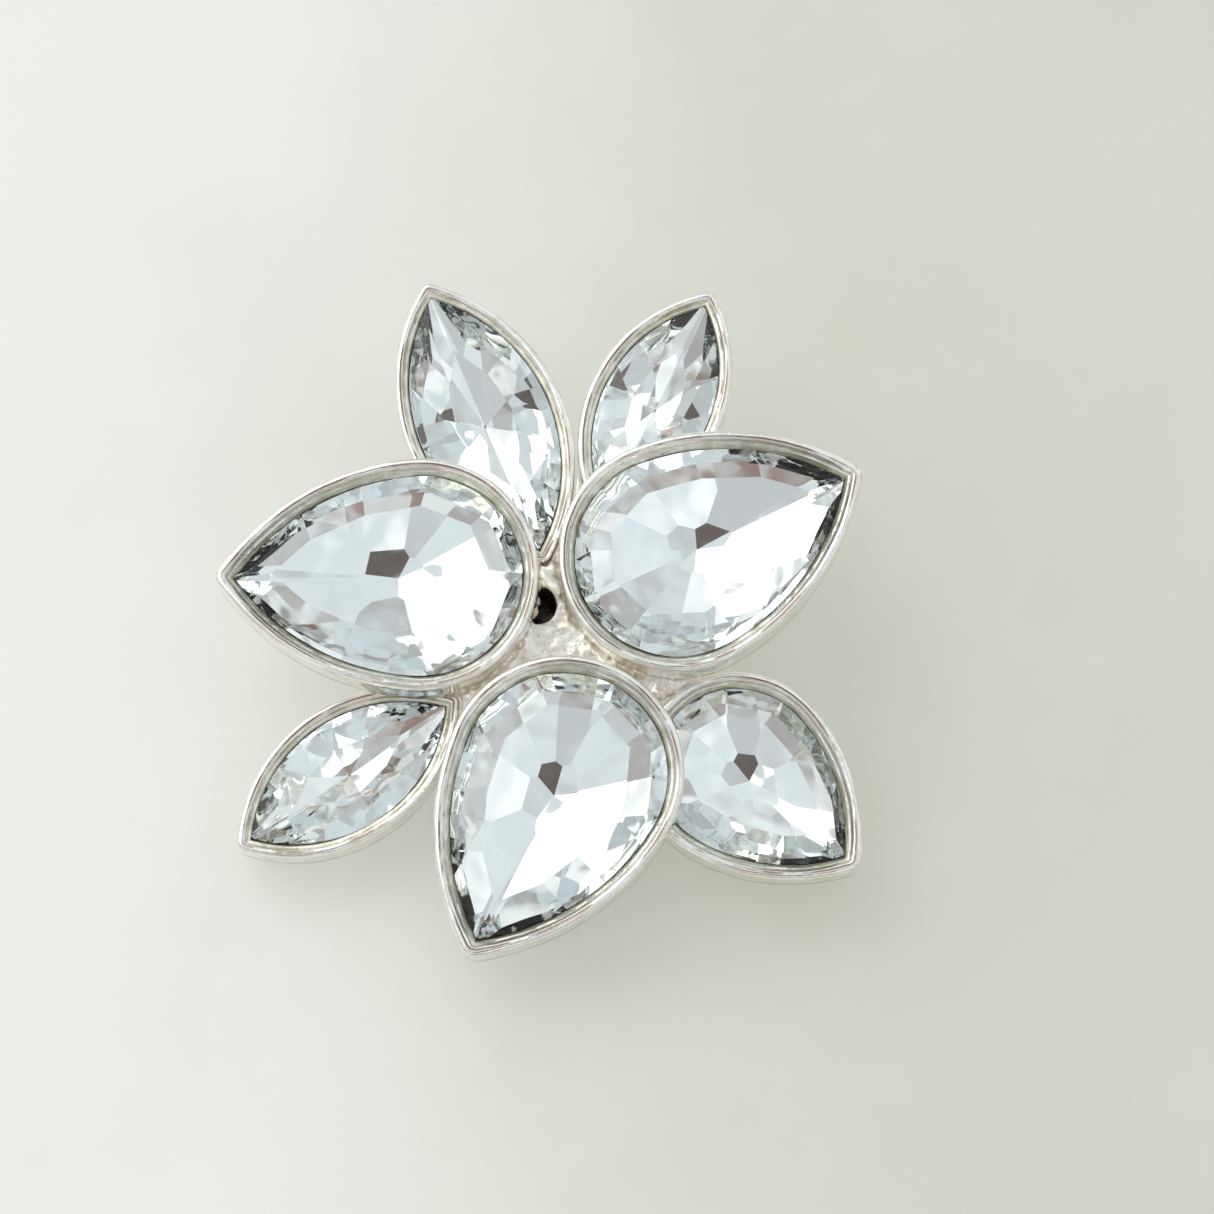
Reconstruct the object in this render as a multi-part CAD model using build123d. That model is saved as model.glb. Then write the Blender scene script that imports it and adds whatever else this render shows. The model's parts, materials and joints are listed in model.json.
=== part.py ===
from build123d import *
from math import asin, atan, atan2, cos, degrees, hypot, pi, radians, sin, sqrt
import os

# Rhinestone hair clip: seven foiled acrylic stones in silver-plated cups, tied together by a solder hub,
# on a small sprung alligator clip.
#
# The flower is laid out on its own face plane: the hub is the origin, +Z comes out of the face and +Y runs
# along the clip towards its tail. Heights start at the backs of the lower cups. The whole model is then
# pitched about X and lifted, so that it stands as it does on a table: on the lower jaw's tip and tail.

# ---- stones and cups (mm) ----
RIM_WIDTH = 0.6           # rolled rim, outside the opening
RIM_ROLL = 0.2            # rounding at the rim's outer top edge
CUP_DRAFT = 0.05          # how much smaller the cup is at its foot
CUP_FLOOR = 0.6
SEAT_STEP = 0.4           # the inner wall slopes in by this much, down to the stone's girdle
STONE_GAP = 0.04          # between the girdle and the wall
GIRDLE = 0.15             # height of the stone's upright band
CULET_FLAT = 0.2          # depth of pavilion tip that is missing, as on moulded stones
CEMENT_GAP = 0.35         # cement stops this far below the girdle

LOWER_HEIGHT = 2.9
UPPER_BASE = 3.1          # the upper cups stand on the hub plate, clear of the lower rims
UPPER_HEIGHT = 3.2

LARGE_PEAR = (6.83, 12.15, 4.7)       # opening: end radius, reach from its centre to the tip, lean
SMALL_PEAR = (5.55, 9.13, 6.7)
LARGE_NAVETTE = (19.0, 9.42)          # opening: length, width
SMALL_NAVETTE = (15.74, 7.8)

# ---- hub plate ----
HUB_RADIUS = 8.2
HUB_WEB = 1.4             # thickness of the web under the upper cups
HUB_BOSS_RADIUS = 4.0
HUB_HOLE_RADIUS = 1.2
HUB_HOLE = (-0.58, 0.0)
HUB_ARMS = ((-1.2, 13.0, 3.0), (10.2, -1.2, 4.4), (-4.4, -6.8, 4.0))   # end x, end y, width

# ---- clip ----
CLIP_X = 2.0              # the clip's centre line, to the right of the hub
STRIP = 0.6               # thickness of the jaw strip
TIP_Y = -19.6
TIP_HALF = 2.5            # half the jaw's width at its tip
JAW_HALF = 3.4            # half the jaw's width at the hinge
UPPER_TAIL_Y = 8.6
HINGE_Y = 3.2
HINGE_Z = -2.9
PIN_RADIUS = 0.5
PIN_PLAY = 0.04           # radial, in the lower jaw's eyes
PIN_FIT = 0.01            # radial, in the upper jaw's ears
PIN_HEAD = 0.85
EAR = 0.5                 # thickness of the ears
EAR_RADIUS = 1.15
EAR_GAP = 0.12            # between the upper jaw's ears and the lower jaw's eyes
MOUTH_GAP = 0.08          # between the closed jaws at the tip
TAIL_Y = 11.6
TAIL_HALF = 2.4
TAIL_DROP = 7.8           # depth of the tail end's lower edge
TOOTH = 0.32
TOOTH_PITCH = 1.3
TOOTH_COUNT = 8

# ---- torsion spring ----
WIRE = 0.45
COIL_RADIUS = 1.05
COIL_PITCH = 0.55
COIL_TURNS = 4
LEG_REACH = 4.6           # how far each leg runs towards the tail


class Pear:
    """Drop outline: round end centred on the origin, tip on +X, two flank arcs tangent to the end."""

    def __init__(self, radius, reach, lean):
        slope = sin(radians(lean))
        self.radius = radius
        self.reach = reach
        self.lean = lean
        self.flank = (radius**2 + reach**2 - 2 * radius * reach * slope) / (2 * (radius - reach * slope))
        self.centre_x = -(self.flank - radius) * slope
        self.centre_y = -(self.flank - radius) * cos(radians(lean))
        self.join_angle = pi / 2 - radians(lean)
        self.tip_angle = atan2(-self.centre_y, reach - self.centre_x)

    def grown(self, offset):
        tip = self.centre_x + sqrt((self.flank + offset) ** 2 - self.centre_y**2)
        return Pear(self.radius + offset, tip, self.lean)

    def flank_point(self, angle, side):
        x = self.centre_x + self.flank * cos(angle)
        y = self.centre_y + self.flank * sin(angle)
        return (x, side * y)

    def wire(self, z):
        middle = (self.join_angle + self.tip_angle) / 2
        joins = [(*self.flank_point(self.join_angle, side), z) for side in (1, -1)]
        bulges = [(*self.flank_point(middle, side), z) for side in (1, -1)]
        tip = (self.reach, 0, z)
        upper = Edge.make_three_point_arc(joins[0], bulges[0], tip)
        lower = Edge.make_three_point_arc(tip, bulges[1], joins[1])
        end = Edge.make_three_point_arc(joins[1], (-self.radius, 0, z), joins[0])
        return Wire([upper, lower, end])

    def support(self, angle):
        """How far the outline reaches in the direction of the angle."""
        turn = abs(atan2(sin(angle), cos(angle)))
        if turn < self.tip_angle:
            return self.reach * cos(turn)
        if turn < self.join_angle:
            return self.centre_x * cos(turn) + self.centre_y * sin(turn) + self.flank
        return self.radius

    def table(self):
        """Corners of the stone's ten-sided table, scaled from an 18 mm stone."""
        scale = (self.reach + self.radius) / 18
        halves = ((2.4, 0.0), (4.8, 2.1), (8.2, 3.6), (11.7, 4.2), (14.8, 2.9), (15.9, 0.0))
        upper = [(self.reach - back * scale, half * scale) for back, half in halves]
        lower = [(x, -y) for x, y in upper[-2:0:-1]]
        return upper + lower

    def culet(self):
        return 0.12 * self.reach


class Navette:
    """Boat outline centred on the origin: two equal arcs that meet in points on the X axis."""

    def __init__(self, length, width):
        self.reach = length / 2
        self.half = width / 2
        self.flank = (self.reach**2 + self.half**2) / (2 * self.half)
        self.tip_angle = atan2(self.flank - self.half, self.reach)

    def grown(self, offset):
        drop = self.flank - self.half
        reach = sqrt((self.flank + offset) ** 2 - drop**2)
        return Navette(2 * reach, 2 * (self.half + offset))

    def wire(self, z):
        tips = [(self.reach, 0, z), (-self.reach, 0, z)]
        upper = Edge.make_three_point_arc(tips[0], (0, self.half, z), tips[1])
        lower = Edge.make_three_point_arc(tips[1], (0, -self.half, z), tips[0])
        return Wire([upper, lower])

    def support(self, angle):
        turn = atan2(abs(sin(angle)), abs(cos(angle)))
        if turn < self.tip_angle:
            return self.reach * cos(turn)
        return self.flank - (self.flank - self.half) * sin(turn)

    def table(self):
        """Corners of the stone's eight-sided table, scaled from an 18 mm stone."""
        scale = self.reach / 9
        quarter = ((4.9, 0.0), (2.7, 1.35), (0.0, 1.9))
        right = [(x * scale, y * scale) for x, y in quarter]
        left = [(-x, y) for x, y in right[-2::-1]]
        upper = right + left
        lower = [(x, -y) for x, y in upper[-2:0:-1]]
        return upper + lower

    def culet(self):
        return 0.0


# name: opening, x, y, direction of the tip in degrees, height of the foot, height of the rim above the
# foot, girdle below the rim, crown height, number of pavilion facets
SETTINGS = {
    "left_pear": (Pear(*LARGE_PEAR), -7.96, -0.45, 194.9, UPPER_BASE, UPPER_HEIGHT, 0.8, 1.3, 12),
    "right_pear": (Pear(*LARGE_PEAR), 7.31, 4.62, 39.3, UPPER_BASE, UPPER_HEIGHT, 0.8, 1.3, 12),
    "bottom_pear": (Pear(*LARGE_PEAR), 3.86, -10.51, -103.6, UPPER_BASE, UPPER_HEIGHT, 0.8, 1.3, 12),
    "small_pear": (Pear(*SMALL_PEAR), 14.1, -7.0, -25.8, 0.0, LOWER_HEIGHT, 0.75, 0.9, 10),
    "large_navette": (Navette(*LARGE_NAVETTE), -6.74, 10.75, 126.9, 0.0, LOWER_HEIGHT, 0.5, 1.15, 10),
    "top_navette": (Navette(*SMALL_NAVETTE), 3.53, 14.44, 78.5, 0.0, LOWER_HEIGHT, 0.5, 0.85, 8),
    "low_navette": (Navette(*SMALL_NAVETTE), -9.44, -13.17, 228.7, 0.0, LOWER_HEIGHT, 0.5, 0.85, 8),
}


def skin(outline, profile):
    """Solid through copies of an outline, one for each (offset, height) of a wall profile."""
    return Solid.make_loft([outline.grown(offset).wire(z) for offset, z in profile], ruled=True)


def cup(opening, height, drop):
    """Bezel cup: drafted wall, rolled rim, sloping inner wall down to the seat, flat floor."""
    roll = RIM_ROLL
    outside = skin(opening, (
        (RIM_WIDTH - CUP_DRAFT, 0),
        (RIM_WIDTH - 0.04, height - 2.2 * roll),
        (RIM_WIDTH, height - 1.2 * roll),
        (RIM_WIDTH - 0.3 * roll, height - 0.3 * roll),
        (RIM_WIDTH - roll, height),
    ))
    hollow = skin(opening, (
        (-SEAT_STEP, CUP_FLOOR),
        (-SEAT_STEP, height - drop),
        (0, height - 1.2 * roll),
        (0.3 * roll, height - 0.3 * roll),
        (roll, height + 0.001),
    ))
    return outside - hollow


def below(solid, lean, angle, level):
    """Cuts a solid by a plane that falls away towards the angle, or rises if lean is negative."""
    side = 1 if lean > 0 else -1
    normal = Vector(abs(lean) * cos(angle), abs(lean) * sin(angle), side)
    plane = Plane(origin=(0, 0, level), z_dir=normal)
    return solid.split(plane, keep=Keep.BOTTOM)


def stone(outline, crown, pavilion, facets):
    """Moulded stone with its girdle's top at z = 0: table, crown facets, upright girdle, pavilion."""
    depth = GIRDLE + pavilion - CULET_FLAT
    gem = extrude(Face(outline.wire(-depth)), amount=depth + crown, dir=(0, 0, 1)).solid()
    corners = outline.table()
    for start, end in zip(corners, corners[1:] + corners[:1]):
        run = (end[0] - start[0], end[1] - start[1])
        angle = atan2(-run[0], run[1])
        inner = start[0] * cos(angle) + start[1] * sin(angle)
        reach = outline.support(angle)
        lean = crown / (reach - inner)
        gem = below(gem, lean, angle, lean * reach)
    for facet in range(facets):
        angle = 2 * pi * (facet + 0.5) / facets
        inner = outline.culet() * cos(angle)
        lean = pavilion / (outline.support(angle) - inner)
        gem = below(gem, -lean, angle, -(GIRDLE + pavilion + lean * inner))
    return gem


def cement(opening, height, drop, gem):
    """Cement bed: fills the cup under the stone."""
    bed = skin(opening, (
        (-SEAT_STEP - STONE_GAP, CUP_FLOOR),
        (-SEAT_STEP - STONE_GAP, height - drop - GIRDLE - CEMENT_GAP),
    ))
    return bed - gem


def make_settings():
    """A cup, a stone and a cement bed for each of the seven settings."""
    nodes = {}
    for name, (opening, x, y, turn, base, height, drop, crown, facets) in SETTINGS.items():
        pavilion = height - drop - GIRDLE - CUP_FLOOR
        gem = stone(opening.grown(-SEAT_STEP - STONE_GAP), crown, pavilion, facets)
        gem = gem.moved(Location((0, 0, height - drop)))
        place = Location((x, y, base), (0, 0, turn))
        nodes["cup_" + name] = cup(opening, height, drop).moved(place)
        nodes["stone_" + name] = gem.moved(place)
        nodes["cement_" + name] = cement(opening, height, drop, gem).moved(place)
    return nodes


def hub_plate():
    """Solder hub: a web under the upper cups with arms into the gaps, and a boss down to the clip."""
    web_foot = UPPER_BASE - HUB_WEB
    plate = Pos(0, 0, web_foot + HUB_WEB / 2) * Cylinder(HUB_RADIUS, HUB_WEB)
    for x, y, width in HUB_ARMS:
        length = hypot(x, y)
        turned = Location((x / 2, y / 2, web_foot), (0, 0, degrees(atan2(y, x))))
        arm = extrude(SlotCenterToCenter(length, width), amount=HUB_WEB)
        plate = plate + arm.moved(turned)
    plate = plate + Pos(0, 0, UPPER_BASE / 2) * Cylinder(HUB_BOSS_RADIUS, UPPER_BASE)
    plate = plate - Pos(*HUB_HOLE, UPPER_BASE / 2) * Cylinder(HUB_HOLE_RADIUS, 2 * UPPER_BASE)
    for opening, x, y, turn, base, height, drop, crown, facets in SETTINGS.values():
        if base == 0:
            rim = opening.grown(RIM_WIDTH + 0.02)
            block = extrude(Face(rim.wire(-1)), amount=UPPER_BASE + 2, dir=(0, 0, 1))
            plate = plate - block.moved(Location((x, y, 0), (0, 0, turn)))
    return max(plate.solids(), key=lambda solid: solid.volume)


def side_plate(points, x_start, thickness):
    """Plate with an outline given as (y, z) points, starting at an x and growing towards +X."""
    plane = Plane(origin=(x_start, 0, 0), x_dir=(0, 1, 0), z_dir=(1, 0, 0))
    face = plane * make_face(Polyline(*points, close=True))
    return extrude(face, amount=thickness, dir=(1, 0, 0))


def along_x(radius, x_start, x_end):
    """Round bar on the hinge axis."""
    bar = Cylinder(radius, x_end - x_start, rotation=(0, 90, 0))
    return bar.moved(Location(((x_start + x_end) / 2, HINGE_Y, HINGE_Z)))


def jaw_plan(half_tail, tail_y):
    """Prism of the jaws' outline seen from above: narrow rounded tip, full width at the hinge."""
    tip = TIP_Y + 1.2
    points = [
        (-TIP_HALF, tip),
        (-TIP_HALF + 0.8, TIP_Y),
        (TIP_HALF - 0.8, TIP_Y),
        (TIP_HALF, tip),
        (JAW_HALF, HINGE_Y - 6),
        (JAW_HALF, HINGE_Y + 2),
        (half_tail, tail_y - 0.8),
        (half_tail - 0.8, tail_y),
        (-half_tail + 0.8, tail_y),
        (-half_tail, tail_y - 0.8),
        (-JAW_HALF, HINGE_Y + 2),
        (-JAW_HALF, HINGE_Y - 6),
    ]
    face = make_face(Polyline(*points, close=True))
    return Pos(0, 0, -12) * extrude(face, amount=14)


def upper_jaw():
    """Flat strip soldered under the hub, with two ears folded down that carry the pin."""
    strip = jaw_plan(TAIL_HALF, UPPER_TAIL_Y) & (Pos(0, 0, -STRIP / 2) * Box(20, 60, STRIP))
    jaw = strip
    for x_start in (-JAW_HALF, JAW_HALF - EAR):
        web = side_plate([
            (HINGE_Y - 2.0, -STRIP / 2),
            (HINGE_Y - EAR_RADIUS, HINGE_Z),
            (HINGE_Y + EAR_RADIUS, HINGE_Z),
            (HINGE_Y + 2.0, -STRIP / 2),
        ], x_start, EAR)
        jaw = jaw + web + along_x(EAR_RADIUS, x_start, x_start + EAR)
    jaw = jaw - along_x(PIN_RADIUS + PIN_FIT, -JAW_HALF - 1, JAW_HALF + 1)
    return jaw.moved(Location((CLIP_X, 0, 0))).solid()


def lower_profile():
    """Side outline (y, z) of the lower jaw's bent strip: front, hinge saddle and flared tail."""
    top = [
        (TIP_Y, -STRIP - MOUTH_GAP),
        (HINGE_Y - 4.2, -2.7),
        (HINGE_Y, HINGE_Z - 1.35),
        (HINGE_Y + 2.6, HINGE_Z - 2.0),
        (TAIL_Y, -TAIL_DROP + STRIP),
    ]
    bottom = [(y, z - STRIP) for y, z in reversed(top)]
    return top + bottom


def lower_jaw():
    """Bent strip with toothed side flanges at its front and two eyes on the pin between the ears."""
    inside = JAW_HALF - EAR - EAR_GAP
    wide = side_plate(lower_profile(), -inside, 2 * inside)
    jaw = jaw_plan(TAIL_HALF, TAIL_Y) & wide
    slope = (-2.7 + STRIP + MOUTH_GAP) / (HINGE_Y - 4.2 - TIP_Y)
    front = TIP_Y + 1.4
    for x_start in (-TIP_HALF, TIP_HALF - EAR):
        teeth = []
        for tooth in range(TOOTH_COUNT):
            y = front + tooth * TOOTH_PITCH
            teeth += [(y, -STRIP - MOUTH_GAP - TOOTH), (y + TOOTH_PITCH / 2, -STRIP - MOUTH_GAP)]
        back = teeth[-1][0] + TOOTH_PITCH / 2
        foot = slope * (back - TIP_Y) - STRIP - MOUTH_GAP - STRIP / 2
        teeth += [(back, -STRIP - MOUTH_GAP - TOOTH), (back + 1.2, foot)]
        start_foot = slope * (front - TIP_Y) - STRIP - MOUTH_GAP - STRIP / 2
        jaw = jaw + side_plate(teeth + [(front, start_foot)], x_start, EAR)
    for x_start in (-inside, inside - EAR):
        web = side_plate([
            (HINGE_Y - 1.0, HINGE_Z),
            (HINGE_Y - 1.6, HINGE_Z - 1.3),
            (HINGE_Y + 1.6, HINGE_Z - 1.9),
            (HINGE_Y + 1.0, HINGE_Z),
        ], x_start, EAR)
        jaw = jaw + web + along_x(1.0, x_start, x_start + EAR)
    jaw = jaw - along_x(PIN_RADIUS + PIN_PLAY, -JAW_HALF - 1, JAW_HALF + 1)
    return jaw.moved(Location((CLIP_X, 0, 0))).solid()


def hinge_pin():
    """Pin through both jaws, headed over outside the ears."""
    reach = JAW_HALF + 0.02
    pin = along_x(PIN_RADIUS, -reach, reach)
    for side in (-1, 1):
        ends = sorted((side * reach, side * (reach + 0.4)))
        pin = pin + along_x(PIN_HEAD, *ends)
    return pin.moved(Location((CLIP_X, 0, 0))).solid()


def tangent_angle(target_y, target_z, side):
    """Direction of a line that touches the coil on its top (side 1) or bottom (side -1) and hits a point."""
    run = target_y - HINGE_Y
    rise = target_z - HINGE_Z
    return atan2(rise, run) - side * asin(COIL_RADIUS / hypot(run, rise))


def torsion_spring():
    """Coil round the pin with one leg along each jaw towards the tails."""
    leg_y = HINGE_Y + LEG_REACH
    tail_slope = (-TAIL_DROP + STRIP - HINGE_Z + 2.0) / (TAIL_Y - HINGE_Y - 2.6)
    tail_top = HINGE_Z - 2.0 + tail_slope * (LEG_REACH - 2.6)
    rest = WIRE / 2 + 0.06
    upper = tangent_angle(leg_y, -STRIP - rest, 1)
    lower = tangent_angle(leg_y, tail_top + rest * 1.6, -1)
    sweep_angle = pi + lower - upper + 2 * pi * COIL_TURNS
    width = COIL_PITCH * sweep_angle / (2 * pi)
    coil = Helix(COIL_PITCH, width, COIL_RADIUS)
    leg = LEG_REACH - 0.1
    first = Line(coil @ 0 - (coil % 0) * leg, coil @ 0)
    last = Line(coil @ 1, coil @ 1 + (coil % 1) * leg)
    path = Wire([first.edge(), coil.edge(), last.edge()])
    section = Plane(origin=path @ 0, z_dir=path % 0) * Circle(WIRE / 2)
    spring = sweep(section, path=path, is_frenet=True)
    start = Vector(0, -sin(upper), cos(upper))
    plane = Plane(origin=(CLIP_X - width / 2, HINGE_Y, HINGE_Z), x_dir=start, z_dir=(1, 0, 0))
    return spring.moved(plane.location).solid()


def stand(nodes):
    """Pitches the model onto the lower jaw's tip and tail, and puts it over the origin."""
    tip_z = -2 * STRIP - MOUTH_GAP
    pitch = degrees(atan((tip_z + TAIL_DROP) / (TAIL_Y - TIP_Y)))
    turned = {name: piece.rotate(Axis.X, pitch) for name, piece in nodes.items()}
    box = Compound(list(turned.values())).bounding_box()
    shift = Location((-box.center().X, -box.center().Y, -box.min.Z))
    hinge = Vector(CLIP_X, HINGE_Y, HINGE_Z).rotate(Axis.X, pitch) + shift.position
    grip = Vector(CLIP_X, TIP_Y + 5, -STRIP).rotate(Axis.X, pitch) + shift.position
    print("pitch", round(pitch, 4), "size", box.size, "shift", shift.position)
    print("hinge", hinge, "grip", grip)
    return {name: piece.moved(shift) for name, piece in turned.items()}


def main():
    os.makedirs("parts", exist_ok=True)
    nodes = make_settings()
    nodes["hub_plate"] = hub_plate()
    nodes["upper_jaw"] = upper_jaw()
    nodes["lower_jaw"] = lower_jaw()
    nodes["hinge_pin"] = hinge_pin()
    nodes["torsion_spring"] = torsion_spring()
    for name, piece in stand(nodes).items():
        export_step(piece, f"parts/{name}.step")


main()
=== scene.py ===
import json
import random
from math import atan, atan2, cos, hypot, pi, radians, sin, sqrt

import bmesh
import bpy
from mathutils import Matrix, Vector, noise


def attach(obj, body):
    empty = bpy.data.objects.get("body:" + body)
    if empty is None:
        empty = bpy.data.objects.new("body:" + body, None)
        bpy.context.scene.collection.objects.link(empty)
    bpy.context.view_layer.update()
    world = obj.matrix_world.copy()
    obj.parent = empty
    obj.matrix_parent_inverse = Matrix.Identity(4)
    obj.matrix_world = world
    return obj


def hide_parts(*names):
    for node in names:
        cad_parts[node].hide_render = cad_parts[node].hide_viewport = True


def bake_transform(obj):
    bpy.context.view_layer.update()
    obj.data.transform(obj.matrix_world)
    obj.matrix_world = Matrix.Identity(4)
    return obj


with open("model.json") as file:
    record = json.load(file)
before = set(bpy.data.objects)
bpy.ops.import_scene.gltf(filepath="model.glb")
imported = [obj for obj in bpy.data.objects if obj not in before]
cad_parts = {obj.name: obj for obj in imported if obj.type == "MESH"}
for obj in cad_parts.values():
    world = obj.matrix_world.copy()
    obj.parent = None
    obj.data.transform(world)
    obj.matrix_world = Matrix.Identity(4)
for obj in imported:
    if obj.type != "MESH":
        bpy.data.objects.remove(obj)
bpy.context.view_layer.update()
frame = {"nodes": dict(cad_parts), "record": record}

# Rhinestone hair clip. Lengths are millimetres on the flower's own face plane, as in the CAD model: the
# hub is the origin, +Z comes out of the face and +Y runs along the clip towards its tail. FACE turns that
# plane into the row frame, in metres.
MM = 0.001

# ---- sizes shared with the CAD model ----
RIM_WIDTH = 0.6
CUP_DRAFT = 0.05
CUP_FLOOR = 0.6
SEAT_STEP = 0.4
STONE_GAP = 0.04
GIRDLE = 0.15
LOWER_HEIGHT = 2.9
UPPER_BASE = 3.1
UPPER_HEIGHT = 3.2
HUB_HOLE = (-0.58, 0.0)
HINGE_FACE = (2.0, 3.2, -2.9)
JAW_BASE = 31.2           # from the lower jaw's tip to its tail, the two lines that it stands on
JAW_DROP = 6.52           # how much deeper the tail is than the tip
PITCH = atan(JAW_DROP / JAW_BASE)

# ---- rims ----
RING_POINTS = 360
BEAD = 0.3                # radius of the rolled rim
TIP_SHARPNESS = 0.16      # rounding of the opening's tip; it grows outwards
PEAR_SOFTNESS = 1.8       # how fast it grows
NAVETTE_SOFTNESS = 0.95
TIP_STRETCH = 0.20        # how much of the rim's width is added to a pear's tip
TIP_RUN = 2.5             # over this length
NAVETTE_LEAN_IN = 0.10    # a navette's rim sits this much closer to its stone
NOISE_SEED = 1
CUP_WOBBLE = ((5.0, 0.05), (1.3, 0.022), (0.45, 0.008))   # layers of (wavelength, amount)
SHELL, LINING, CREST = 0, 1, 2   # a cup's material slots

# ---- stones and cement ----
STONE_POINTS = 200
STONE_TIP = 0.12          # rounding of the stones' tips
STAR_RISE = 0.20          # the small facets round the culet end this much above the pavilion's point
STAR_LEAN = 0.50          # their slope, as a share of the main facets'
RIDGE = 0.045             # width that is eased off the crown's ridges
STONE_SEED = 40
CLEAR, FOILED = 0, 1      # a stone's material slots
PEAR_BED = 0.80           # height of a bed of cement, as a share of the CAD bed's
NAVETTE_BED = 0.15        # the navettes' sharp culets reach almost down to their cups' floors

# ---- solder ----
HUB_ARM_TURN = radians(-6)   # direction of the arm between the right pear and the small one
HUB_ARM_END = 9.0            # where it ends
SOLDER_RUN = ((7.6, -3.6), (10.2, -1.9))   # solder that has run in between those two cups
RUN_LUMPS = 12
SOLDER_REACH = 7.6           # the other lumps lie no further than this from the hub's centre
SOLDER_GRAIN = 0.11          # size of the voxels that join lumps and plate
SOLDER_WOBBLE = ((1.6, 0.10), (0.6, 0.05), (0.25, 0.02))
SOLDER_SEED = 8
BORE_RADIUS = 1.45           # inside this, and lower than BORE_DEPTH, the hub's hole is painted near black, as painted shade
BORE_DEPTH = 0.25

# ---- the photographer's view of the face ----
TURN = radians(14)        # the picture's upright, turned from the clip's axis
LEAN = radians(12)        # between the line of sight and the face's normal
SIGHT = 288.0             # distance of the camera
AIM = (3.89, 0.27, UPPER_BASE + UPPER_HEIGHT)
PICTURE = 75.64           # side of the square picture at the upper rims
SENSOR = 36.0

# ---- table top: colour and faint glow, next to the window and away from it; both are painted light, a painted fall-off away from the window and a painted fill glow ----
FLOOR_PAINTED_LIT = (0.42, 0.425, 0.395)
FLOOR_PAINTED_DIM = (0.36, 0.367, 0.32)
PAINTED_GLOW_LIT = (0.42, 0.425, 0.40)
PAINTED_GLOW_DIM = (0.305, 0.31, 0.27)
PAINTED_FADE = (-34, 26)          # where the painted fall-off starts and ends, to the picture's right of the middle
TABLE_HALF = 0.9          # in metres


# ---------------------------------------------------------------- outlines
class Pear:
    """Drop outline: round end on the origin, tip on +X, two flank arcs tangent to the end."""

    def __init__(self, radius, reach, lean):
        slope = sin(radians(lean))
        self.radius = radius
        self.reach = reach
        self.lean = lean
        self.flank = (radius**2 + reach**2 - 2 * radius * reach * slope) / (2 * (radius - reach * slope))
        self.centre_x = -(self.flank - radius) * slope
        self.centre_y = -(self.flank - radius) * cos(radians(lean))
        self.join_angle = pi / 2 - radians(lean)
        self.tip_angle = atan2(-self.centre_y, reach - self.centre_x)

    def grown(self, offset):
        tip = self.centre_x + sqrt((self.flank + offset) ** 2 - self.centre_y**2)
        return Pear(self.radius + offset, tip, self.lean)

    def support(self, angle):
        """How far the outline reaches in the direction of the angle."""
        turn = abs(atan2(sin(angle), cos(angle)))
        if turn < self.tip_angle:
            return self.reach * cos(turn)
        if turn < self.join_angle:
            return self.centre_x * cos(turn) + self.centre_y * sin(turn) + self.flank
        return self.radius

    def arcs(self, rounding):
        """Arcs (centre x, centre y, radius, first angle, last angle, share of points), anticlockwise."""
        tip = self.centre_x + sqrt((self.flank - rounding) ** 2 - self.centre_y**2)
        turn = atan2(-self.centre_y, tip - self.centre_x)
        join = self.join_angle
        return [
            (tip, 0, rounding, -turn, turn, 0.10),
            (self.centre_x, self.centre_y, self.flank, turn, join, 0.28),
            (0, 0, self.radius, join, 2 * pi - join, 0.34),
            (self.centre_x, -self.centre_y, self.flank, -join, -turn, 0.28),
        ]

    def table(self):
        """Corners of the table, drawn for a stone 18 long: distance back from the tip, half width."""
        scale = (self.reach + self.radius) / 18
        halves = ((2.4, 0.0), (4.8, 2.1), (8.2, 3.6), (11.7, 4.2), (14.8, 2.9), (15.9, 0.0))
        upper = [(self.reach - back * scale, half * scale) for back, half in halves]
        lower = [(x, -y) for x, y in upper[-2:0:-1]]
        return upper + lower

    def culet(self):
        return 0.12 * self.reach


class Navette:
    """Boat outline centred on the origin: two equal arcs that meet in points on the X axis."""

    def __init__(self, length, width):
        self.reach = length / 2
        self.half = width / 2
        self.flank = (self.reach**2 + self.half**2) / (2 * self.half)
        self.tip_angle = atan2(self.flank - self.half, self.reach)

    def grown(self, offset):
        drop = self.flank - self.half
        reach = sqrt((self.flank + offset) ** 2 - drop**2)
        return Navette(2 * reach, 2 * (self.half + offset))

    def support(self, angle):
        turn = atan2(abs(sin(angle)), abs(cos(angle)))
        if turn < self.tip_angle:
            return self.reach * cos(turn)
        return self.flank - (self.flank - self.half) * sin(turn)

    def arcs(self, rounding):
        drop = self.flank - self.half
        tip = sqrt((self.flank - rounding) ** 2 - drop**2)
        turn = atan2(drop, tip)
        return [
            (tip, 0, rounding, -turn, turn, 0.10),
            (0, -drop, self.flank, turn, pi - turn, 0.40),
            (-tip, 0, rounding, pi - turn, pi + turn, 0.10),
            (0, drop, self.flank, pi + turn, 2 * pi - turn, 0.40),
        ]

    def table(self):
        """Corners of the table, drawn for a stone 18 long."""
        scale = self.reach / 9
        quarter = ((4.9, 0.0), (2.7, 1.35), (0.0, 1.9))
        right = [(x * scale, y * scale) for x, y in quarter]
        left = [(-x, y) for x, y in right[-2::-1]]
        upper = right + left
        lower = [(x, -y) for x, y in upper[-2:0:-1]]
        return upper + lower

    def culet(self):
        return 0.0


def trace(outline, rounding, count):
    """Points once round an outline, whose tips are rounded."""
    points = []
    for x, y, radius, first, last, share in outline.arcs(rounding):
        steps = round(count * share)
        for step in range(steps):
            angle = first + (last - first) * step / steps
            points.append((x + radius * cos(angle), y + radius * sin(angle)))
    return points


LARGE_PEAR = Pear(6.83, 12.15, 4.7)
SMALL_PEAR = Pear(5.55, 9.13, 6.7)
LARGE_NAVETTE = Navette(19.0, 9.42)
SMALL_NAVETTE = Navette(15.74, 7.8)

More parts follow.
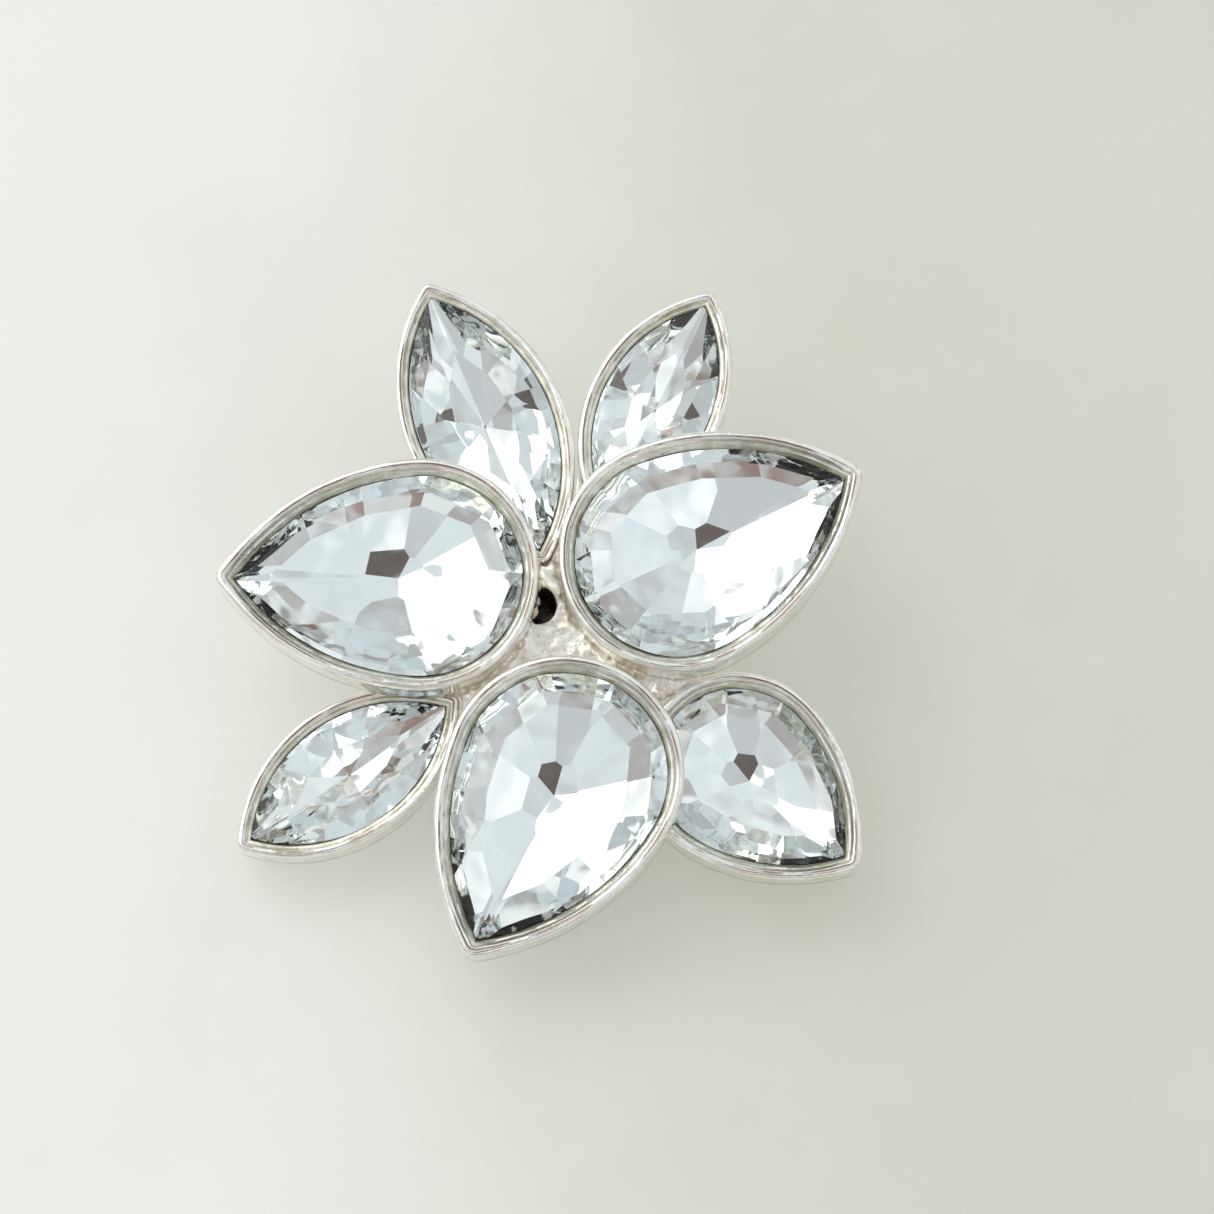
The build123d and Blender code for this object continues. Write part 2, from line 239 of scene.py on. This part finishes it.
# name: opening, x, y, direction of the tip, foot, height, girdle below the rim, crown, pavilion facets
SETTINGS = {
    "left_pear": (LARGE_PEAR, -7.96, -0.45, 194.9, UPPER_BASE, UPPER_HEIGHT, 0.8, 1.3, 12),
    "right_pear": (LARGE_PEAR, 7.31, 4.62, 39.3, UPPER_BASE, UPPER_HEIGHT, 0.8, 1.3, 12),
    "bottom_pear": (LARGE_PEAR, 3.86, -10.51, -103.6, UPPER_BASE, UPPER_HEIGHT, 0.8, 1.3, 12),
    "small_pear": (SMALL_PEAR, 14.1, -7.0, -25.8, 0.0, LOWER_HEIGHT, 0.75, 0.9, 10),
    "large_navette": (LARGE_NAVETTE, -6.74, 10.75, 126.9, 0.0, LOWER_HEIGHT, 0.5, 1.15, 14),
    "top_navette": (SMALL_NAVETTE, 3.53, 14.44, 78.5, 0.0, LOWER_HEIGHT, 0.5, 0.85, 12),
    "low_navette": (SMALL_NAVETTE, -9.44, -13.17, 228.7, 0.0, LOWER_HEIGHT, 0.5, 0.85, 12),
}


def face_matrix():
    """From the face plane, in millimetres, to the row frame, in metres: set by the hinge's place there."""
    hinge = Vector(frame["record"]["behaviour"]["joints"][0]["pos_m"])
    turned = Matrix.Rotation(PITCH, 4, "X") @ Matrix.Scale(MM, 4)
    return Matrix.Translation(hinge - turned @ Vector(HINGE_FACE)) @ turned


FACE = face_matrix()


# ---------------------------------------------------------------- node helpers
def shader_tree(name):
    material = bpy.data.materials.new(name)
    material.use_nodes = True
    tree = material.node_tree
    return material, tree, tree.nodes["Principled BSDF"]


def coordinates(tree, scale):
    """The piece's own coordinates in millimetres, times a scale."""
    source = tree.nodes.new("ShaderNodeTexCoord")
    mapping = tree.nodes.new("ShaderNodeMapping")
    mapping.inputs["Scale"].default_value = (scale / MM,) * 3
    tree.links.new(source.outputs["Object"], mapping.inputs["Vector"])
    return mapping.outputs["Vector"]


def noise_field(tree, scale, detail=4.0, roughness=0.55):
    node = tree.nodes.new("ShaderNodeTexNoise")
    node.inputs["Scale"].default_value = 1.0
    node.inputs["Detail"].default_value = detail
    node.inputs["Roughness"].default_value = roughness
    tree.links.new(coordinates(tree, scale), node.inputs["Vector"])
    return node.outputs["Fac"]


def spread(tree, field, low, high, to_low, to_high):
    node = tree.nodes.new("ShaderNodeMapRange")
    node.interpolation_type = "SMOOTHSTEP"
    for socket, value in zip(("From Min", "From Max", "To Min", "To Max"), (low, high, to_low, to_high)):
        node.inputs[socket].default_value = value
    tree.links.new(field, node.inputs["Value"])
    return node.outputs["Result"]


def two_tone(tree, field, low, high):
    """A colour that runs from low to high with the field; either one may be another node's colour."""
    node = tree.nodes.new("ShaderNodeMix")
    node.data_type = "RGBA"
    for socket, colour in (("A", low), ("B", high)):
        if isinstance(colour, tuple):
            node.inputs[socket].default_value = (*colour, 1)
        else:
            tree.links.new(colour, node.inputs[socket])
    tree.links.new(field, node.inputs["Factor"])
    return node.outputs["Result"]


def product(tree, first, second):
    node = tree.nodes.new("ShaderNodeMath")
    node.operation = "MULTIPLY"
    tree.links.new(first, node.inputs[0])
    tree.links.new(second, node.inputs[1])
    return node.outputs["Value"]


def bump(tree, shader, fields):
    """Chains bumps of (field, height in millimetres) into the shader's normal."""
    normal = None
    for field, height in fields:
        node = tree.nodes.new("ShaderNodeBump")
        node.inputs["Strength"].default_value = 1.0
        node.inputs["Distance"].default_value = height * MM
        tree.links.new(field, node.inputs["Height"])
        if normal is not None:
            tree.links.new(normal, node.inputs["Normal"])
        normal = node.outputs["Normal"]
    tree.links.new(normal, shader.inputs["Normal"])


# ---------------------------------------------------------------- materials
def silver_plate(name, dark, light, rough, pit_depth, wave_depth):
    """Bright plate over a casting: soft waves, fine grain, scattered pits, slightly duller patches."""
    material, tree, shader = shader_tree(name)
    shader.inputs["Metallic"].default_value = 1.0
    patches = noise_field(tree, 0.9, 5.0)
    tone = two_tone(tree, spread(tree, patches, 0.35, 0.62, 0, 1), dark, light)
    tree.links.new(tone, shader.inputs["Base Color"])
    tree.links.new(spread(tree, patches, 0.3, 0.7, rough[1], rough[0]), shader.inputs["Roughness"])
    waves = noise_field(tree, 0.8, 2.0)
    grain = noise_field(tree, 9.0, 3.0, 0.6)
    pits = spread(tree, noise_field(tree, 4.5, 2.0, 0.7), 0.28, 0.40, 0, 1)
    bump(tree, shader, ((waves, wave_depth), (grain, 0.25 * pit_depth), (pits, pit_depth)))
    return material


def crest_painted_reflection():
    """The rim's crest: the same plate, with a broken brown line painted along it, a painted dark reflection
    of the rim's inner edge.
    """
    material, tree, shader = shader_tree("silver_plate_painted_reflection")
    shader.inputs["Metallic"].default_value = 1.0
    # painted reflection: a broken dark brown line along the crest
    reflection_line_mask = spread(tree, noise_field(tree, 0.28, 3.0, 0.6), 0.40, 0.56, 0, 1)
    reflection_brown = two_tone(tree, noise_field(tree, 2.0, 3.0), (0.22, 0.12, 0.085), (0.42, 0.29, 0.23))
    tree.links.new(two_tone(tree, reflection_line_mask, (0.90, 0.88, 0.83), reflection_brown), shader.inputs["Base Color"])
    tree.links.new(spread(tree, reflection_line_mask, 0, 1, 0.18, 0.42), shader.inputs["Roughness"])
    bump(tree, shader, ((noise_field(tree, 0.8, 2.0), 0.05), (noise_field(tree, 6.0, 3.0), 0.006)))
    return material


def acrylic():
    """Clear moulded acrylic: slightly uneven facets, faint scuffs."""
    material, tree, shader = shader_tree("clear_acrylic")
    shader.inputs["IOR"].default_value = 1.49
    shader.inputs["Transmission Weight"].default_value = 1.0
    tint = two_tone(tree, noise_field(tree, 0.3, 1.0), (0.955, 0.975, 0.975), (0.98, 0.995, 0.995))
    tree.links.new(tint, shader.inputs["Base Color"])
    scuffs = spread(tree, noise_field(tree, 0.5, 1.0), 0.45, 0.75, 0.0, 0.03)
    tree.links.new(scuffs, shader.inputs["Roughness"])
    bump(tree, shader, ((noise_field(tree, 0.35, 1.0), 0.05), (noise_field(tree, 1.0, 0.0), 0.001)))
    return material


def foil():
    """Mirror foil on the stone's back."""
    material, tree, shader = shader_tree("mirror_foil")
    shader.inputs["Metallic"].default_value = 1.0
    tone = two_tone(tree, noise_field(tree, 0.8, 3.0), (0.85, 0.87, 0.87), (0.905, 0.925, 0.925))
    tree.links.new(tone, shader.inputs["Base Color"])
    haze = spread(tree, noise_field(tree, 0.6, 1.0), 0.4, 0.8, 0.02, 0.06)
    tree.links.new(haze, shader.inputs["Roughness"])
    bump(tree, shader, ((noise_field(tree, 0.3, 1.0), 0.06), (noise_field(tree, 0.9, 0.0), 0.002)))
    return material


def cement_material():
    """Grey cement, dull and uneven."""
    material, tree, shader = shader_tree("cement")
    tone = two_tone(tree, noise_field(tree, 1.5), (0.45, 0.44, 0.40), (0.60, 0.59, 0.55))
    tree.links.new(tone, shader.inputs["Base Color"])
    shader.inputs["Roughness"].default_value = 0.55
    bump(tree, shader, ((noise_field(tree, 3.0), 0.05),))
    return material


def marble():
    """Pale polished table top with faint clouds. Its colour darkens away from the window, a painted
    fall-off of light, and it glows a little, painted fill light that lifts its shadows.
    """
    material, tree, shader = shader_tree("pale_marble")
    across = tree.nodes.new("ShaderNodeVectorMath")
    across.operation = "DOT_PRODUCT"
    across.inputs[1].default_value = (cos(TURN), sin(TURN), 0)
    tree.links.new(coordinates(tree, 1.0), across.inputs[0])
    # painted light: colour and glow fade from the window's side to the far side
    painted_fade = spread(tree, across.outputs["Value"], *PAINTED_FADE, 0, 1)
    clouds = spread(tree, noise_field(tree, 0.035, 6.0, 0.6), 0.35, 0.7, -0.12, 0.12)
    painted_fade_cloud_sum = tree.nodes.new("ShaderNodeMath")
    tree.links.new(painted_fade, painted_fade_cloud_sum.inputs[0])
    tree.links.new(clouds, painted_fade_cloud_sum.inputs[1])
    painted_fade_cloud_sum.use_clamp = True
    painted_fade_and_clouds = painted_fade_cloud_sum.outputs["Value"]
    tree.links.new(two_tone(tree, painted_fade_and_clouds, FLOOR_PAINTED_LIT, FLOOR_PAINTED_DIM), shader.inputs["Base Color"])
    # painted fill light: the table top glows, which lifts its shadows
    tree.links.new(two_tone(tree, painted_fade_and_clouds, PAINTED_GLOW_LIT, PAINTED_GLOW_DIM), shader.inputs["Emission Color"])
    shader.inputs["Emission Strength"].default_value = 1.0
    polish = spread(tree, noise_field(tree, 0.2, 5.0), 0.3, 0.7, 0.42, 0.55)
    tree.links.new(polish, shader.inputs["Roughness"])
    shader.inputs["Specular IOR Level"].default_value = 0.3
    bump(tree, shader, ((noise_field(tree, 1.2, 4.0), 0.006),))
    return material


PLATE = silver_plate("silver_plate", (0.86, 0.84, 0.785), (0.96, 0.945, 0.905), (0.12, 0.20), 0.008, 0.016)
INNER = silver_plate("silver_plate_inner", (0.74, 0.72, 0.60), (0.92, 0.90, 0.82), (0.28, 0.44), 0.03, 0.08)
CREST_PAINTED_REFLECTION = crest_painted_reflection()
SOLDER = silver_plate("plated_solder", (0.82, 0.76, 0.67), (0.94, 0.91, 0.85), (0.26, 0.42), 0.03, 0.10)
# painted shade: a near-black plate for the depth of the hub's hole
BORE_PAINTED_SHADE = silver_plate("bore_painted_shade", (0.03, 0.024, 0.018), (0.08, 0.06, 0.045), (0.55, 0.7), 0.03, 0.05)
JAW_STEEL = silver_plate("plated_steel", (0.80, 0.79, 0.77), (0.90, 0.89, 0.87), (0.16, 0.30), 0.006, 0.02)
WIRE_STEEL = silver_plate("spring_steel", (0.50, 0.50, 0.50), (0.68, 0.68, 0.67), (0.20, 0.32), 0.004, 0.01)
ACRYLIC = acrylic()
FOIL = foil()
CEMENT = cement_material()


# ---------------------------------------------------------------- meshes
def add_piece(name, mesh, materials, node, body="flower"):
    """A finished piece that stands for a CAD node."""
    for material in materials:
        mesh.materials.append(material)
    piece = bpy.data.objects.new(name, mesh)
    bpy.context.scene.collection.objects.link(piece)
    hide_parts(node)
    if body:
        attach(piece, body)
    return piece


def to_mesh(bm, name):
    mesh = bpy.data.meshes.new(name)
    bm.to_mesh(mesh)
    bm.free()
    return mesh


def wobble(point, seed, layers):
    """A point pushed about by noise layers of (wavelength, amount)."""
    moved = Vector(point)
    for wavelength, amount in layers:
        moved += noise.noise_vector((Vector(point) + seed) / wavelength) * amount
    return moved


def arc_profile(x, z, radius, first, last, steps):
    """Profile points (offset, height) on an arc; angles in degrees, 0 outwards, 90 up."""
    angles = [radians(first + (last - first) * step / steps) for step in range(steps + 1)]
    return [(x + radius * cos(angle), z + radius * sin(angle)) for angle in angles]


def cup_profile(height, drop):
    """Wall profile from the foot, up outside, over the bead and down inside; and each strip's material."""
    foot = RIM_WIDTH - CUP_DRAFT
    outside = arc_profile(foot - 0.12, 0.12, 0.12, -90, 0, 3)
    outside += [(foot, 0.35 * height), (foot - 0.02, 0.6 * height), (foot - 0.03, height - 0.66)]
    bead = arc_profile(RIM_WIDTH - BEAD, height - BEAD, BEAD, -35, 180, 20)
    inside = [
        (-0.03, height - BEAD - 0.05),
        (-0.10, height - 0.52 * drop - 0.02),
        (-0.20, height - 0.56 * drop - 0.02),
        (-0.27, height - 0.80 * drop),
        (-SEAT_STEP, height - drop),
        (-SEAT_STEP - 0.01, height - drop - 0.3),
        (-SEAT_STEP - 0.01, CUP_FLOOR),
    ]
    # the strips along the bead's top take the crest slot, which carries the painted dark reflection
    crest = len(outside) + 12
    kinds = [SHELL] * crest + [CREST] * 2 + [SHELL] * 5
    kinds += [LINING] * (len(outside) + len(bead) + len(inside) - 1 - len(kinds))
    return outside + bead + inside, kinds


def tip_rounding(offset, softness):
    """Radius of an outline's tip at an offset from the opening."""
    return max(0.06, TIP_SHARPNESS + softness * offset)


def drawn_out(point, reach, offset):
    """A rim's tip, drawn out a little so that the bead stays as wide there."""
    x, y = point
    near = max(0.0, (x - reach + TIP_RUN) / TIP_RUN)
    return x + TIP_STRETCH * max(offset, 0) * near * near, y


def cup_mesh(name, opening, height, drop, place, seed):
    """Cup as a stack of rings, one for each point of the wall's profile."""
    profile, kinds = cup_profile(height, drop)
    mesh = bpy.data.meshes.new(name)
    points = []
    pear = isinstance(opening, Pear)
    for offset, z in profile:
        if pear:
            ring = trace(opening.grown(offset), tip_rounding(offset, PEAR_SOFTNESS), RING_POINTS)
            ring = [drawn_out(point, opening.reach, offset) for point in ring]
        else:
            if offset > 0.05 - SEAT_STEP:     # above the seat
                offset = 0.95 * offset - NAVETTE_LEAN_IN
            ring = trace(opening.grown(offset), tip_rounding(offset, NAVETTE_SOFTNESS), RING_POINTS)
        points += [wobble((x, y, z), seed, CUP_WOBBLE) for x, y in ring]
    count = len(points) // len(profile)
    faces = [list(range(count))[::-1]]
    materials = [SHELL]
    for level in range(len(profile) - 1):
        for step in range(count):
            near = level * count
            after = (step + 1) % count
            faces.append((near + step, near + after, near + count + after, near + count + step))
            materials.append(kinds[level])
    faces.append([(len(profile) - 1) * count + step for step in range(count)])
    materials.append(LINING)
    mesh.from_pydata([FACE @ place @ point for point in points], [], faces)
    mesh.polygons.foreach_set("material_index", materials)
    mesh.shade_smooth()
    mesh.set_sharp_from_angle(angle=radians(50))
    return mesh


def cut_edges(cut):
    return [part for part in cut["geom_cut"] if isinstance(part, bmesh.types.BMEdge)]


def slice_off(bm, lean, angle, level, kind):
    """Cuts the stone by a plane that falls away towards the angle, or rises if lean is negative."""
    side = 1 if lean > 0 else -1
    normal = Vector((abs(lean) * cos(angle), abs(lean) * sin(angle), side)).normalized()
    parts = bm.verts[:] + bm.edges[:] + bm.faces[:]
    cut = bmesh.ops.bisect_plane(
        bm, geom=parts, dist=1e-5, plane_co=(0, 0, level), plane_no=normal, clear_outer=True
    )
    edges = cut_edges(cut)
    if len(edges) > 2:
        for face in bmesh.ops.contextual_create(bm, geom=edges)["faces"]:
            face.material_index = kind


def stone_mesh(name, outline, crown, pavilion, facets, place, rng):
    """Faceted stone, its girdle's top at z = 0. Crown faces are acrylic, the back and girdle are foil."""
    bm = bmesh.new()
    depth = GIRDLE + pavilion
    ring = trace(outline, STONE_TIP, STONE_POINTS)
    low = [bm.verts.new((x, y, -depth)) for x, y in ring]
    high = [bm.verts.new((x, y, crown)) for x, y in ring]
    for step in range(len(ring)):
        after = (step + 1) % len(ring)
        bm.faces.new((low[step], low[after], high[after], high[step])).material_index = FOILED
    bm.faces.new(low[::-1]).material_index = FOILED
    bm.faces.new(high).material_index = CLEAR
    corners = outline.table()
    for start, end in zip(corners, corners[1:] + corners[:1]):
        angle = atan2(start[0] - end[0], end[1] - start[1])
        inner = start[0] * cos(angle) + start[1] * sin(angle)
        reach = outline.support(angle)
        lean = crown / (reach - inner)
        slice_off(bm, lean, angle, lean * reach, CLEAR)
    pitch = 2 * pi / facets
    for facet in range(facets):
        angle = pitch * (facet + 0.5 + rng.uniform(-0.12, 0.12))
        inner = outline.culet() * cos(angle)
        lean = pavilion / (outline.support(angle) - inner)
        slice_off(bm, -lean, angle, -(GIRDLE + pavilion + lean * inner), FOILED)
        if facet % 2 and isinstance(outline, Pear):
            star = lean * STAR_LEAN * rng.uniform(0.8, 1.2)
            turn = angle + pitch * rng.uniform(-0.3, 0.3)
            level = GIRDLE + pavilion - STAR_RISE + star * outline.culet() * cos(turn)
            slice_off(bm, -star, turn, -level, FOILED)
        angle = pitch * (facet + 1 + rng.uniform(-0.1, 0.1))
        reach = outline.support(angle)
        steep = pavilion / (reach - outline.culet() * cos(angle)) * rng.uniform(1.04, 1.18)
        slice_off(bm, -steep, angle, -(GIRDLE + steep * reach), FOILED)
    bmesh.ops.recalc_face_normals(bm, faces=bm.faces)
    ridges = []
    for edge in bm.edges:
        if len(edge.link_faces) == 2 and edge.calc_face_angle() > radians(4):
            if all(face.material_index == CLEAR for face in edge.link_faces):
                ridges.append(edge)
    bmesh.ops.bevel(
        bm, geom=ridges, offset=RIDGE, segments=2, profile=0.5, affect="EDGES", clamp_overlap=True
    )
    bmesh.ops.remove_doubles(bm, verts=bm.verts, dist=0.003)
    bmesh.ops.dissolve_degenerate(bm, edges=bm.edges, dist=0.001)
    bmesh.ops.transform(bm, matrix=FACE @ place, verts=bm.verts)
    mesh = to_mesh(bm, name)
    mesh.shade_smooth()
    mesh.set_sharp_from_angle(angle=radians(1.5))
    return mesh


def build_settings():
    """Each cup with its stone."""
    for index, (name, values) in enumerate(SETTINGS.items()):
        opening, x, y, turn, foot, height, drop, crown, facets = values
        place = Matrix.Translation((x, y, foot)) @ Matrix.Rotation(radians(turn), 4, "Z")
        seed = Vector((17.0 * index, 5.0, 3.0))
        cup = cup_mesh("bezel_" + name, opening, height, drop, place, seed)
        add_piece("bezel_" + name, cup, (PLATE, INNER, CREST_PAINTED_REFLECTION), "cup_" + name)
        pavilion = height - drop - GIRDLE - CUP_FLOOR
        raised = place @ Matrix.Translation((0, 0, height - drop))
        outline = opening.grown(-SEAT_STEP - STONE_GAP)
        rng = random.Random(STONE_SEED + index)
        gem = stone_mesh("gem_" + name, outline, crown, pavilion, facets, raised, rng)
        add_piece("gem_" + name, gem, (ACRYLIC, FOIL), "stone_" + name)


def flat_copy(node):
    """A node's mesh as a bmesh in millimetres on the face plane."""
    bm = bmesh.new()
    bm.from_mesh(frame["nodes"][node].data)
    bmesh.ops.transform(bm, matrix=FACE.inverted(), verts=bm.verts)
    return bm


def apply_modifier(mesh, kind, **settings):
    """A new mesh: the old one with one modifier applied."""
    helper = bpy.data.objects.new("helper", mesh)
    bpy.context.scene.collection.objects.link(helper)
    modifier = helper.modifiers.new(kind.lower(), kind)
    for key, value in settings.items():
        setattr(modifier, key, value)
    graph = bpy.context.evaluated_depsgraph_get()
    result = bpy.data.meshes.new_from_object(helper.evaluated_get(graph))
    bpy.data.objects.remove(helper)
    bpy.data.meshes.remove(mesh)
    return result


def build_hub():
    """Hub plate with lumps of solder run up against the feet of the cups, all one rough skin."""
    rng = random.Random(SOLDER_SEED)
    bm = flat_copy("hub_plate")
    parts = bm.verts[:] + bm.edges[:] + bm.faces[:]
    arm = Vector((cos(HUB_ARM_TURN), sin(HUB_ARM_TURN), 0))
    cut = bmesh.ops.bisect_plane(
        bm, geom=parts, plane_co=arm * HUB_ARM_END, plane_no=arm, clear_outer=True
    )
    bmesh.ops.contextual_create(bm, geom=cut_edges(cut))
    for opening, x, y, turn, foot, *_ in SETTINGS.values():
        if foot == 0:
            continue
        place = Matrix.Translation((x, y, 0)) @ Matrix.Rotation(radians(turn), 4, "Z")
        for x_foot, y_foot in trace(opening.grown(RIM_WIDTH - 0.25), 0.6, 90):
            spot = place @ Vector((x_foot, y_foot, UPPER_BASE - 0.1))
            if hypot(spot.x, spot.y) < SOLDER_REACH:
                size = rng.uniform(0.38, 0.62)
                ball = bmesh.ops.create_icosphere(bm, subdivisions=2, radius=size)
                shift = Vector((0, 0, rng.uniform(-0.1, 0.25)))
                bmesh.ops.translate(bm, verts=ball["verts"], vec=spot + shift)
    start, end = (Vector((x, y, UPPER_BASE - 0.65)) for x, y in SOLDER_RUN)
    for step in range(RUN_LUMPS):
        spot = start.lerp(end, step / (RUN_LUMPS - 1))
        spot += Vector([rng.uniform(-0.22, 0.22) for _ in range(3)])
        ball = bmesh.ops.create_icosphere(bm, subdivisions=2, radius=rng.uniform(0.45, 0.62))
        bmesh.ops.translate(bm, verts=ball["verts"], vec=spot)
    mesh = apply_modifier(to_mesh(bm, "hub_rough"), "REMESH", mode="VOXEL", voxel_size=SOLDER_GRAIN)
    mesh = apply_modifier(mesh, "SMOOTH", factor=0.6, iterations=3)
    for vertex in mesh.vertices:
        vertex.co = FACE @ wobble(vertex.co, Vector((3, 1, 4)), SOLDER_WOBBLE)
    mesh.shade_smooth()
    mesh.name = "solder_hub"
    # faces deep in the hub's hole take the painted shade
    low = FACE.inverted()
    for polygon in mesh.polygons:
        spot = low @ polygon.center
        away = hypot(spot.x - HUB_HOLE[0], spot.y - HUB_HOLE[1])
        if spot.z < UPPER_BASE - BORE_DEPTH and away < BORE_RADIUS:
            polygon.material_index = 1
    add_piece("solder_hub", mesh, (SOLDER, BORE_PAINTED_SHADE), "hub_plate")


def dressed(name, node, material, body, bevel):
    """A pressed part: the node's shape with its edges eased."""
    bm = flat_copy(node)
    bmesh.ops.remove_doubles(bm, verts=bm.verts, dist=1e-4)
    bmesh.ops.dissolve_limit(bm, angle_limit=radians(0.5), verts=bm.verts, edges=bm.edges)
    if bevel:
        inner = [edge for edge in bm.edges if len(edge.link_faces) == 2]
        sharp = [edge for edge in inner if edge.calc_face_angle() > radians(35)]
        bmesh.ops.bevel(
            bm, geom=sharp, offset=bevel, segments=2, profile=0.5, affect="EDGES", clamp_overlap=True
        )
    bmesh.ops.transform(bm, matrix=FACE, verts=bm.verts)
    mesh = to_mesh(bm, name)
    mesh.shade_smooth()
    mesh.set_sharp_from_angle(angle=radians(32))
    return add_piece(name, mesh, (material,), node, body)


def build_clip():
    """Jaws and pin, and the spring, baked in place and attached to neither body."""
    dressed("plated_upper_jaw", "upper_jaw", JAW_STEEL, "flower", 0.05)
    dressed("plated_lower_jaw", "lower_jaw", JAW_STEEL, "lower_jaw", 0.05)
    dressed("plated_pin", "hinge_pin", JAW_STEEL, "flower", 0.06)
    spring = dressed("coil_spring", "torsion_spring", WIRE_STEEL, None, 0)
    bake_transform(spring)


def build_cement():
    """Cement beds, flattened onto their cups' floors to stay clear of the stones' own facets."""
    for name, values in SETTINGS.items():
        opening, foot = values[0], values[4]
        share = PEAR_BED if isinstance(opening, Pear) else NAVETTE_BED
        bm = flat_copy("cement_" + name)
        floor = Matrix.Translation((0, 0, foot + CUP_FLOOR))
        sink = floor @ Matrix.Diagonal((1, 1, share, 1)) @ floor.inverted()
        bmesh.ops.transform(bm, matrix=FACE @ sink, verts=bm.verts)
        add_piece("bed_" + name, to_mesh(bm, "bed_" + name), (CEMENT,), "cement_" + name)


# ---------------------------------------------------------------- stage, light, camera
def row_direction(azimuth, elevation):
    """Unit vector in the row frame; azimuth 0 is the picture's bottom, 90 its right, 0 elevation level."""
    flat = cos(radians(elevation))
    seen = Vector((sin(radians(azimuth)) * flat, -cos(radians(azimuth)) * flat, sin(radians(elevation))))
    return Matrix.Rotation(TURN, 3, "Z") @ seen


def build_floor():
    mesh = bpy.data.meshes.new("table_top")
    signs = ((-1, -1), (1, -1), (1, 1), (-1, 1))
    corners = [(x * TABLE_HALF, y * TABLE_HALF, 0) for x, y in signs]
    mesh.from_pydata(corners, [], [(0, 1, 2, 3)])
    mesh.materials.append(marble())
    floor = bpy.data.objects.new("table_top", mesh)
    bpy.context.scene.collection.objects.link(floor)


def build_sky():
    """Pale dome with soft patches, a glow at the window, dim furniture low down and figures in front."""
    world = bpy.data.worlds.new("room")
    bpy.context.scene.world = world
    world.use_nodes = True
    tree = world.node_tree
    background = tree.nodes["Background"]
    source = tree.nodes.new("ShaderNodeTexCoord")

    def lobe(azimuth, elevation, inner, outer):
        """1 inside a cone about a direction, 0 outside; half angles in degrees."""
        dot = tree.nodes.new("ShaderNodeVectorMath")
        dot.operation = "DOT_PRODUCT"
        dot.inputs[1].default_value = row_direction(azimuth, elevation)
        tree.links.new(source.outputs["Generated"], dot.inputs[0])
        return spread(tree, dot.outputs["Value"], cos(radians(outer)), cos(radians(inner)), 0, 1)

    def patches(scale, detail):
        node = tree.nodes.new("ShaderNodeTexNoise")
        node.inputs["Scale"].default_value = scale
        node.inputs["Detail"].default_value = detail
        tree.links.new(source.outputs["Generated"], node.inputs["Vector"])
        return node.outputs["Fac"]

    split = tree.nodes.new("ShaderNodeSeparateXYZ")
    tree.links.new(source.outputs["Generated"], split.inputs[0])
    height = split.outputs["Z"]
    sky = two_tone(tree, spread(tree, height, 0.0, 0.9, 0, 1), (0.98, 0.98, 0.95), (0.80, 0.87, 0.89))
    large = patches(2.4, 1.5)
    sky = two_tone(tree, spread(tree, large, 0.50, 0.60, 0, 0.75), sky, (0.55, 0.55, 0.56))
    sky = two_tone(tree, spread(tree, large, 0.44, 0.34, 0, 0.8), sky, (1.25, 1.28, 1.28))
    sky = two_tone(tree, lobe(-130, 40, 12, 38), sky, (1.35, 1.37, 1.35))
    small = patches(4.2, 1.0)
    furniture = product(
        tree, spread(tree, small, 0.47, 0.53, 0, 0.85), spread(tree, height, 0.50, 0.66, 1, 0)
    )
    sky = two_tone(tree, furniture, sky, (0.42, 0.385, 0.375))
    folds = spread(tree, small, 0.40, 0.54, 0.25, 1)
    for azimuth, elevation in ((-30, 14), (-10, 21), (13, 21), (32, 14)):
        figure = product(tree, folds, lobe(azimuth, elevation, 10, 14))
        sky = two_tone(tree, figure, sky, (0.33, 0.23, 0.195))
    sky = two_tone(tree, lobe(-6, 66, 8, 11), sky, (0.12, 0.09, 0.08))   # the camera
    tree.links.new(sky, background.inputs["Color"])


def add_light(name, azimuth, elevation, distance, width, height, power, colour):
    """Area light aimed at the origin; metres and watts."""
    data = bpy.data.lights.new(name, "AREA")
    data.shape = "RECTANGLE"
    data.size = width
    data.size_y = height
    data.energy = power
    data.color = colour
    light = bpy.data.objects.new(name, data)
    light.location = row_direction(azimuth, elevation) * distance
    light.rotation_euler = (-light.location).to_track_quat("-Z", "Y").to_euler()
    bpy.context.scene.collection.objects.link(light)


def build_camera():
    turned = Matrix.Rotation(PITCH, 3, "X") @ Matrix.Rotation(TURN, 3, "Z")
    sight = turned @ Vector((0, -sin(LEAN), cos(LEAN)))
    upright = turned @ Vector((0, cos(LEAN), sin(LEAN)))
    data = bpy.data.cameras.new("camera")
    data.sensor_width = SENSOR
    data.lens = SENSOR * SIGHT / PICTURE
    data.clip_start = 0.01
    camera = bpy.data.objects.new("camera", data)
    basis = Matrix((upright.cross(sight), upright, sight)).transposed().to_4x4()
    camera.matrix_world = Matrix.Translation(FACE @ Vector(AIM) + sight * SIGHT * MM) @ basis
    bpy.context.scene.collection.objects.link(camera)
    bpy.context.scene.camera = camera


def build_stage():
    paths = bpy.context.scene.cycles     # light crosses a foiled stone many times before it leaves
    paths.glossy_bounces = 12
    paths.max_bounces = 20
    build_floor()
    build_sky()
    add_light(
        "window", azimuth=-118, elevation=50, distance=0.32,
        width=0.30, height=0.30, power=0.26, colour=(1.0, 0.99, 0.96),
    )
    build_camera()
    view = bpy.context.scene.view_settings
    view.view_transform = "Standard"
    view.look = "None"
    view.exposure = 0.0


noise.seed_set(NOISE_SEED)     # the clock sets it otherwise
build_settings()
build_hub()
build_clip()
build_cement()
build_stage()
